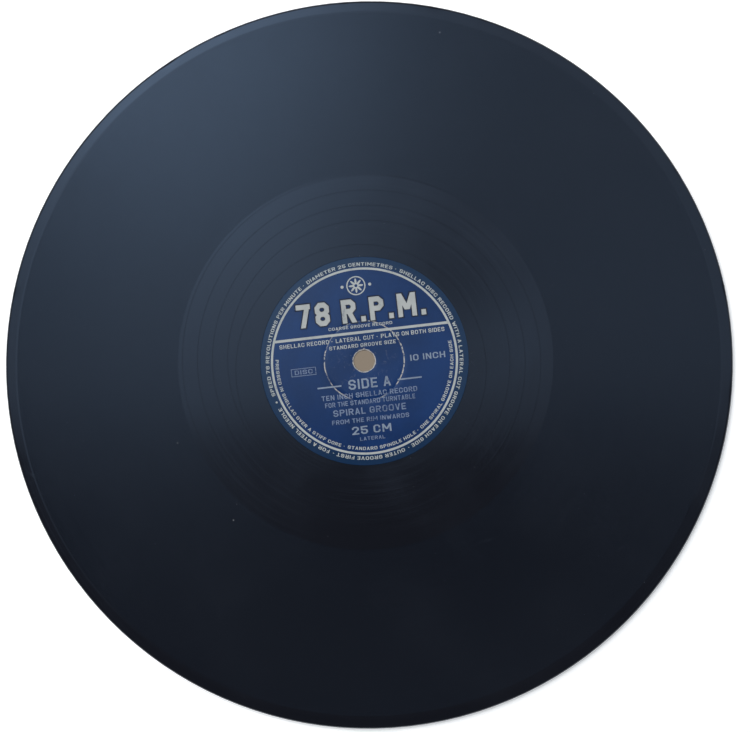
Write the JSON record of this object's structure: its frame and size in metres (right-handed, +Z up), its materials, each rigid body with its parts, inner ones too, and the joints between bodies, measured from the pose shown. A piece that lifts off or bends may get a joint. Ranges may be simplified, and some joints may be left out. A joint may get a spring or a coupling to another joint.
{
  "type": "phonograph record",
  "caption": "Flat round shellac phonograph record with grooved playing faces, flush paper labels and a plain spindle hole.",
  "frame": {"origin": "on the spindle axis at the underside of the disc", "axes": "+Z up along the spindle axis, out of side A; +Y towards the top of side A's label"},
  "size_m": [0.25, 0.25, 0.0022],
  "materials": {
    "shellac": "polished shellac compound, cut with a fine spiral groove",
    "core_compound": "coarse shellac and slate compound, trimmed at the rim",
    "core_paper": "buff kraft sheet soaked with shellac",
    "label_paper": "blue printed label paper, calendered in the press"
  },
  "bodies": {
    "root": {"core": "core_compound", "core_paper_a": "core_paper", "core_paper_b": "core_paper", "playing_face_a": "shellac", "playing_face_b": "shellac", "label_a": "label_paper", "label_b": "label_paper"}
  },
  "joints": []
}
